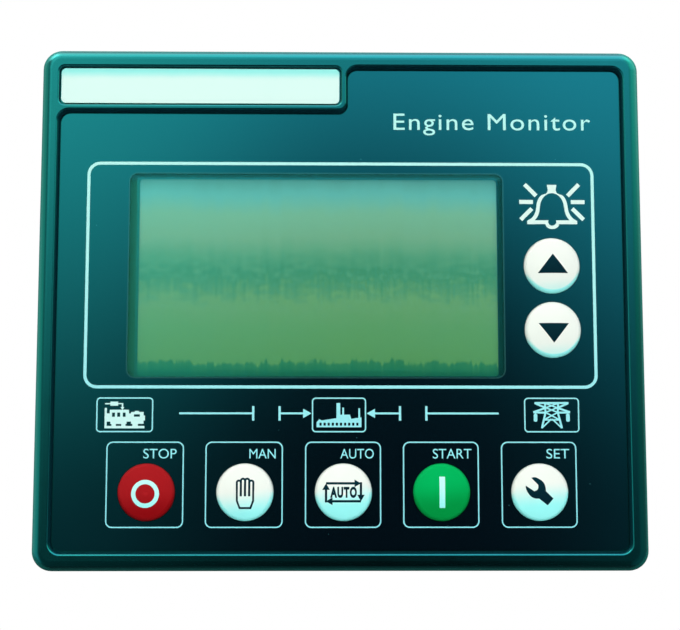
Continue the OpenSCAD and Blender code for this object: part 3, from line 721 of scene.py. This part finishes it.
def mimic_line():
    """The line from the engine and the mains to the works, with a gap on each side for a lamp."""
    tall = BAR_TALL / 2
    shapes = [stroke(x0, MIMIC_Y, x1, MIMIC_Y, BAR) for x0, x1 in MIMIC_RUNS]
    shapes += [arrow(x, MIMIC_Y, *TIP_SIZE, turn) for x, turn in MIMIC_TIPS]
    shapes += [stroke(x, MIMIC_Y - tall, x, MIMIC_Y + tall, BAR_WIDE) for x in MIMIC_BARS]
    return shapes


def bell(x, y):
    """An alarm bell in outline, with its cap, its clapper and three rays on each side."""
    outside = both_sides([
        (1.6, -4.2, 1), (5.8, -4.2, 1), (5.8, -3.45, 1), (4.6, -2.6), (3.9, -1.4), (3.65, -0.2),
        (3.4, 1.1), (2.6, 2.45), (1.1, 3.25), (1.1, 5.05, 1),
    ])
    inside = both_sides([
        (0.86, -3.3, 1), (4.05, -3.3, 1), (3.4, -2.45), (3.0, -1.4), (2.82, -0.2), (2.55, 1.0),
        (1.8, 2.25), (0.6, 3.0),
    ])
    clapper = [(-1.65, -4.1, 1), (-1.2, -4.95), (0, -5.35), (1.2, -4.95), (1.65, -4.1, 1)]
    tongue = [(-0.86, -3.2, 1), (-0.86, -4.0), (0, -4.55), (0.86, -4.0), (0.86, -3.2, 1)]
    light = [curved(x, y, outside, inside), curved(x, y, clapper)]
    for s in (-1, 1):
        light += [
            stroke(x + s * 3.65, y + 2.45, x + s * 6.3, y + 5.15, BELL_RAY),
            stroke(x + s * 4.4, y + 1.0, x + s * 7.6, y + 1.0, BELL_RAY),
            stroke(x + s * 4.7, y - 0.55, x + s * 7.3, y - 3.15, BELL_RAY),
        ]
    return light, [curved(x, y, tongue)]


def genset_icon(x, y):
    """An engine and its generator on a skid, with a silencer over them."""
    radiator, skid = (-4.53, -3.07, -4.05, 1.56), (-4.4, -3.07, 4.5, -2.52)
    engine = [(-3.39, -1.0, 0.96, 1.14), (-4.1, -1.55, 1.5, 0.3), (-3.2, -2.08, 0.45, -1.4)]
    generator = [(1.46, -2.05, 4.3, 0.64), (4.2, -1.3, 4.6, -0.16), (2.3, 0.6, 3.25, 0.87)]
    feet = [(-2.95, -2.6, -1.97, -1.5), (-0.75, -2.6, 0.22, -1.5), (1.76, -2.6, 3.02, -2.0)]
    silencer = [(-3.27, 2.06, -1.51, 2.98), (-4.49, 2.38, -3.2, 2.66), (-1.55, 2.4, -0.36, 2.66)]
    pipe = (-0.68, 1.6, -0.38, 2.6)
    light = [arrow(x - 0.53, y + 1.1, 0.65, 0.9, 270)]
    for x0, y0, x1, y1 in [radiator, skid, pipe] + engine + generator + feet + silencer:
        light.append(border(x + x0, y + y0, x + x1, y + y1, 0, 0))
    dark = [tile(x + spot, y + 0.02, 0.66, 0.95) for spot in (-2.53, -1.35, -0.11)]
    return light, dark + [tile(x + 2.77, y - 0.16, 1.35, 0.55)]


def factory_icon(x, y):
    """A works building with chimneys and a row of windows."""
    light = [
        tile(x, y - 2.2, 10.2, 1.2),
        outline([
            (x - 5.1, y - 1.7), (x + 5.1, y - 1.7), (x + 5.1, y - 0.55), (x + 2.8, y - 0.9),
            (x + 2.5, y + 0.05), (x - 0.6, y + 0.05), (x - 0.6, y - 0.75), (x - 3.9, y - 1.25),
            (x - 4.5, y - 1.0),
        ]),
        tile(x - 0.15, y + 1.1, 0.85, 3.2),
        tile(x + 0.95, y + 0.55, 0.4, 2.2),
        tile(x + 4.6, y + 0.3, 0.4, 2.4),
    ]
    dark = [tile(x - 4.2 + i * 0.93, y - 2.1, 0.5, 0.66) for i in range(10)]
    return light, dark


def pylon_icon(x, y):
    """A lattice mast with its arms and hanging insulators."""
    thin, thick = 0.32, 0.45
    shapes = [stroke(x - 3.9, y + 2.75, x + 3.9, y + 2.75, thick)]
    for s in (-1, 1):
        shapes += [
            stroke(x + s * 3.8, y + 2.7, x + s * 1.3, y + 1.6, thick),
            stroke(x + s * 4.2, y + 0.65, x + s * 1.4, y + 1.6, thick),
            stroke(x + s * 4.2, y + 0.6, x + s * 1.4, y + 0.55, thick),
            stroke(x + s * 1.5, y + 2.7, x + s * 1.4, y + 0.5, thick),
            stroke(x + s * 1.4, y + 0.6, x + s * 2.3, y - 3.0, thick),
            stroke(x + s * 1.5, y + 2.7, x - s * 1.4, y + 1.6, thin),
            stroke(x + s * 1.4, y + 1.7, x - s * 1.4, y + 0.6, thin),
            stroke(x + s * 1.4, y + 0.6, x - s * 1.8, y - 1.1, thin),
            stroke(x + s * 0.1, y - 0.9, x + s * 2.2, y - 2.9, thin),
            tile(x + s * 3.7, y - 0.6, 0.85, 1.85, 0.38),
            tile(x + s * 3.7, y + 0.3, 0.25, 0.6),
        ]
    shapes.append(stroke(x - 1.7, y - 1.1, x + 1.7, y - 1.1, thin))
    return shapes


def key_lips():
    """The film's thin lips, which hang over the edge of each button's hole."""
    lips = []
    for key in KEYS:
        low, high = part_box(key + "_button")
        spot = [(low[i] + high[i]) / 2 / MM for i in (0, 2)]
        lips.append(ring(*spot, KEY_LIP[1], KEY_LIP[1] - KEY_LIP[0], sides=96))
    return lips


def window_edge():
    """The raised edge of the film round the display's window, printed paler as a painted highlight.
    """
    low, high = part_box("display_lens")
    x0, y0 = low[0] / MM + LENS_LEDGE, low[2] / MM + LENS_LEDGE
    x1, y1 = high[0] / MM - LENS_LEDGE, high[2] / MM - LENS_LEDGE
    wide, corner = 0.3, 2.1
    return border(x0 - wide, y0 - wide, x1 + wide, y1 + wide, corner, wide)


def overlay_signs():
    """All the printing on the film, as one piece that rides on the case."""
    light = [border(*FRAME_BOX, FRAME_CORNER, FRAME_LINE)]
    for x0, x1 in ICON_BOXES:
        light.append(border(x0, ICON_ROW[0], x1, ICON_ROW[1], ICON_CORNER, THIN))
    for (x0, x1), (text, width) in zip(KEY_BOXES, KEY_WORDS):
        light.append(border(x0, KEY_ROW[0], x1, KEY_ROW[1], KEY_CORNER, THIN))
        light.append(word(text, x1 - WORD_INSET, WORD_BASE, WORD_CAP, width))
    title = word("Engine Monitor", TITLE_RIGHT, TITLE_BASE, TITLE_CAP, TITLE_WIDTH, spread=1.12)
    light += [title] + mimic_line()
    bell_light, bell_dark = bell(*BELL_PLACE)
    centres = [sum(ends) / 2 for ends in ICON_BOXES]
    icon_y = sum(ICON_ROW) / 2
    set_light, set_dark = genset_icon(centres[0], icon_y)
    works_light, works_dark = factory_icon(centres[1], icon_y)
    light += works_light + pylon_icon(centres[2], icon_y)
    dark = bell_dark + set_dark + works_dark
    shapes = inked(INK_LIGHT, 0, light) + inked(INK_WARM, 0, bell_light + set_light)
    shapes += inked(INK_FILM, OVER, dark)
    shapes += inked(WINDOW_EDGE_HIGHLIGHT, 0, [window_edge()]) + inked(INK_FILM, 0, key_lips())
    signs = joined(shapes, "overlay_signs")
    modified(signs, "SOLIDIFY", thickness=INK * MM, offset=1)
    stood_up(signs, 0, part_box("front_overlay")[0][1], 0)
    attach(signs, "controller")


def lens_border():
    """The green mask printed on the back of the lens, round the display's picture."""
    low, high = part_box("display_lens")
    lip, cut = 0.6, 0.5
    x0, y0, x1, y1 = low[0] / MM + lip, low[2] / MM + lip, high[0] / MM - lip, high[2] / MM - lip
    outside = [(x0, y0, 1), (x1, y0, 1), (x1, y1, 1), (x0, y1, 1)]
    x0, y0, x1, y1 = PICTURE_BOX
    inside = [
        (x0 + cut, y0, 1), (x1 - cut, y0, 1), (x1, y0 + cut, 1), (x1, y1 - cut, 1),
        (x1 - cut, y1, 1), (x0 + cut, y1, 1), (x0, y1 - cut, 1), (x0, y0 + cut, 1),
    ]
    mask = joined(inked(INK_MASK, 0, [curved(0, 0, outside, inside)]), "lens_border")
    modified(mask, "SOLIDIFY", thickness=INK * MM, offset=1)
    stood_up(mask, 0, high[1] - 2 * INK * MM, 0)
    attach(mask, "controller")


overlay_signs()
lens_border()


# Signs on the buttons, drawn flat about the button's middle and laid on its crown

def hand_sign():
    """An open hand in outline: a palm that narrows to the wrist, and four fingers."""
    right, down, line, wide = 0.12, -0.23, 0.47, 0.42
    dark = [outline([(right + x, down + y) for x, y in (
        (-1.36, -3.5), (1.36, -3.5), (2.05, -1.7), (2.05, 0.7), (-2.05, 0.7), (-2.05, -1.7),
    )])]
    white = [outline([(right + x, down + y) for x, y in (
        (-1.08, -3.05), (1.08, -3.05), (1.6, -1.6), (1.6, -0.66), (-1.6, -0.66), (-1.6, -1.6),
    )])]
    for x, top in ((-1.4, 3.08), (-0.47, 3.5), (0.47, 3.5), (1.4, 3.08)):
        x, foot, tip = x + right, down - 0.8, down + top - line
        dark.append(tile(x, (top + down) / 2, wide + 2 * line, top + down, wide / 2 + line - 0.01))
        white.append(tile(x, (foot + tip) / 2, wide, tip - foot, wide / 2 - 0.01))
    return [(INK_DARK, dark), (WHITE_BUTTON, white)]


def auto_sign():
    """A word in a loop of four arrows."""
    w, h, line, tip, head = 7.85, 4.0, 0.52, 1.45, 1.7
    x, y = w / 2, h / 2
    shapes = [
        stroke(-x, y, x - tip, y, line), arrow(x, y, tip, head, 0),
        stroke(x, y + line / 2, x, tip - y, line), arrow(x, -y, tip, head, 270),
        stroke(x, -y, tip - x, -y, line), arrow(-x, -y, tip, head, 180),
        stroke(-x, -y - line / 2, -x, y - tip, line), arrow(-x, y, tip, head, 90),
        word("AUTO", 3.0, -1.05, 2.1, 6.0, 0.055, 1.2),
    ]
    return [(INK_DARK, shapes)]


def spanner_sign():
    """The open jaw of a spanner and a short length of its handle."""
    return [(INK_DARK, [curved(0, 0, [
        (-3.4, 1.5, 1), (-3.3, 0.7), (-2.85, -0.25), (-2.1, -1.05), (-1.3, -1.38), (-0.45, -1.4, 1),
        (1.5, -2.92, 1), (2.8, -1.4, 1), (1.1, 0.25, 1), (1.02, 1.2), (0.6, 2.2), (-0.3, 2.95),
        (-1.4, 3.38), (-2.1, 3.22, 1), (-0.6, 1.65, 1), (-0.72, 0.7), (-1.5, 0.22, 1),
    ])])]


button_signs = {
    "stop": lambda: [(INK_WHITE, [ring(-0.05, -0.34, 3.13, 0.97)])],
    "manual": hand_sign,
    "auto": auto_sign,
    "start": lambda: [(INK_WHITE, [tile(0, 0, 1.28, 7.0)])],
    "set": spanner_sign,
    "up": lambda: [(INK_DARK, [arrow(0, 2.6, 4.5, 6.95, 90)])],
    "down": lambda: [(INK_DARK, [arrow(0, -3.1, 4.5, 6.95, 270)])],
}
SIGN_STEP = 0.5
SIGN_REACH = 5
SIGN_GAP = 0.004
SIGN_INK = 0.01


def cut_in_squares(piece):
    """Cuts a flat sign along a square grid, so that it can follow a curved crown."""
    edit(piece)
    count = int(SIGN_REACH / SIGN_STEP)
    for i in range(-count, count + 1):
        for way in ((1, 0, 0), (0, 1, 0)):
            bpy.ops.mesh.select_all(action="SELECT")
            spot = tuple(i * SIGN_STEP * MM * part for part in way)
            bpy.ops.mesh.bisect(plane_co=spot, plane_no=way)
    leave_edit()


def lay_on_button(key, layers):
    """Lays the layers of a sign on a button's crown, as one piece that rides on the key."""
    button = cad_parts[key + "_button"]
    low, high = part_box(key + "_button")
    sheets = []
    for level, (ink, shapes) in enumerate(layers):
        for i, sheet in enumerate(inked(ink, 0, shapes)):
            cut_in_squares(sheet)
            stood_up(sheet, (low[0] + high[0]) / 2, low[1] - MM, (low[2] + high[2]) / 2)
            modified(
                sheet, "SHRINKWRAP", target=button, wrap_method="PROJECT", use_project_y=True,
                wrap_mode="ABOVE_SURFACE", offset=(SIGN_GAP + level * OVER + hair(i)) * MM,
            )
            sheets.append(sheet)
    sign = joined(sheets, key + "_sign")
    modified(sign, "SOLIDIFY", thickness=SIGN_INK * MM, offset=1)
    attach(sign, key + "_key")


for key in KEYS:
    lay_on_button(key, button_signs[key]())


# Studio and camera

def soft_light(name, place, aim, size, watts, colour, mirrored=True):
    """A rectangular lamp that faces an aim. Shiny faces show it only where it is mirrored."""
    pick()
    bpy.ops.object.light_add(type="AREA", location=place)
    lamp = bpy.context.object
    lamp.name = name
    lamp.data.shape = "RECTANGLE"
    lamp.data.size, lamp.data.size_y = size
    lamp.data.energy = watts
    lamp.data.color = colour
    lamp.visible_glossy = mirrored
    way = [b - a for a, b in zip(place, aim)]
    level = math.hypot(way[0], way[1])
    lamp.rotation_euler = (
        math.pi / 2 + math.atan2(way[2], level), 0, math.atan2(-way[0], way[1])
    )


soft_light("left_light", (-0.3, -0.12, 0.4), (0, 0, 0.03), (0.3, 0.2), 0.95, (1.0, 0.98, 0.95))
soft_light(
    "right_light", (0.75, -0.75, 0.6), (0, 0, 0), (0.4, 0.4), 3.5, (1.0, 1.0, 0.98), mirrored=False
)
soft_light(
    "low_light", (0.1, -0.7, -0.55), (0, 0, 0), (0.3, 0.3), 2.8, (0.92, 1.0, 0.96), mirrored=False
)


def white_paper(name, share, mirrored):
    """Pale paper that stays white behind the object, seen directly, through glass or in a shiny
    face. It keeps the object's shadow, and its own edges fade into the white round it."""
    material, start, place = new_finish(name)
    rays = start.add("LightPath", None, None, "Is Camera Ray")
    glossy = start.add("LightPath", None, None, "Is Glossy Ray")
    for other in (start.add("LightPath", None, None, "Is Transmission Ray"), glossy):
        rays = rays.math("MAXIMUM", rays, other)
    tone = place.noise(40, 2).mix(rgb(0.62, 0.8, 0.81), rgb(0.66, 0.84, 0.85))
    paper = start.add("BsdfDiffuse", None, {"Color": tone})
    strength = 1 - glossy * (1 - mirrored)
    glow = start.add("Emission", None, {"Color": WHITE, "Strength": strength})
    level = start.add("Mapping", None, {"Vector": place, "Scale": (1, 1, 0)})
    white = share + (1 - share) * level.length().between(0.2, 0.4)
    sheet = start.add("MixShader", None, {0: rays * white, 1: paper, 2: glow})
    start.add("OutputMaterial", None, {"Surface": sheet})
    return material


def studio_sheet(name, place, size, turn, share, mirrored):
    """A large sheet of paper: the floor, or the backdrop when it is turned up."""
    pick()
    bpy.ops.mesh.primitive_plane_add(size=1, location=place, rotation=(turn, 0, 0))
    sheet = bpy.context.object
    sheet.name = name
    sheet.scale = (size[0], size[1], 1)
    settle(sheet)
    sheet.data.materials.append(white_paper(name + "_paper", share, mirrored))


studio_sheet("studio_floor", (0, 0.75, -1.0), (6, 2.5), 0, 0.95, 0.1)
studio_sheet("studio_backdrop", (0, 2.0, 0.5), (6, 3), math.radians(90), 1.0, 0.5)


def studio_room():
    """The room that lights the part. Seen directly or through glass, it is plain white."""
    world = bpy.data.worlds.new("studio")
    bpy.context.scene.world = world
    world.use_nodes = True
    world.node_tree.nodes.clear()
    start = Wire(world.node_tree)
    way = start.add("TexCoord", None, None, "Generated")
    across, ahead, above = way.part("X"), way.part("Y"), way.part("Z")
    glossy = start.add("LightPath", None, None, "Is Glossy Ray")
    seen = start.add("LightPath", None, None, "Is Camera Ray")
    seen = seen.math("MAXIMUM", seen, start.add("LightPath", None, None, "Is Transmission Ray"))

    # A dim room with a wide soft window in front, brighter towards its sides
    front = (0 - ahead).between(0.1, 0.5)
    window = above.between(-0.045, 0.4) * (1 - above.between(0.5, 0.8)) * front
    window = window * (1 - abs(across + 0.08).between(0.25, 0.6))
    window = window * (0.78 + 1.3 * abs(across) - 0.4 * across)
    room = 0.18 + 0.6 * ahead.between(-0.2, 0.4) + 2.75 * window + 0.5 * above.between(0.45, 0.9)

    # A dark stand below the window
    rise = above + 0.06
    tall = rise.math("MAXIMUM", rise, 0) * 0.6
    spot = start.add("CombineXYZ", None, {"X": across - 0.05, "Y": tall})
    stand = 1 - spot.length().between(0.08, 0.25)
    room = room * (1 - 0.98 * stand * front)

    # Side walls and a light overhead, which only shiny faces show
    overhead = above.between(0.55, 0.75) * (0 - ahead).between(-0.2, 0.2)
    overhead = overhead * (1 - abs(across - 0.1).between(0.5, 0.85)) * (1 - 0.3 * across)
    left_side = (0 - across).between(0.5, 0.9)
    right_side = across.between(0.22, 0.6)
    right_glow = 0.35 + 2.8 * above.between(0.05, 0.4)
    walls = left_side * (1.5 - room) + right_side * (right_glow - room)
    room = room + glossy * (walls + 4.0 * overhead)

    # The room's colour: cooler on the right and near the floor, and green on the side walls
    tint = across.between(-0.2, 0.05).mix(rgb(0.96, 1.0, 0.96), rgb(0.9, 0.94, 1.12))
    tint = (glossy * (left_side + right_side)).mix(tint, rgb(0.5, 1.06, 0.86))
    tint = above.between(-0.2, 0.1).mix(rgb(0.4, 0.97, 1.0), tint)
    light = {"Color": seen.mix(tint, WHITE), "Strength": room + seen * (1 - room)}
    start.add("OutputWorld", None, {"Surface": start.add("Background", None, light)})


studio_room()

FOCAL_PIXELS = 1400
IMAGE_WIDTH = 680
SENSOR_WIDTH = 36
CAMERA_PLACE = (-0.0050, -0.3262, -0.0387)
CAMERA_TURN = (math.radians(96.55), 0, math.radians(-0.85))
pick()
bpy.ops.object.camera_add(location=CAMERA_PLACE, rotation=CAMERA_TURN)
camera = bpy.context.object
camera.data.sensor_width = SENSOR_WIDTH
camera.data.lens = FOCAL_PIXELS / IMAGE_WIDTH * SENSOR_WIDTH
camera.data.clip_start = 0.01
bpy.context.scene.camera = camera
bpy.context.scene.view_settings.view_transform = "Standard"
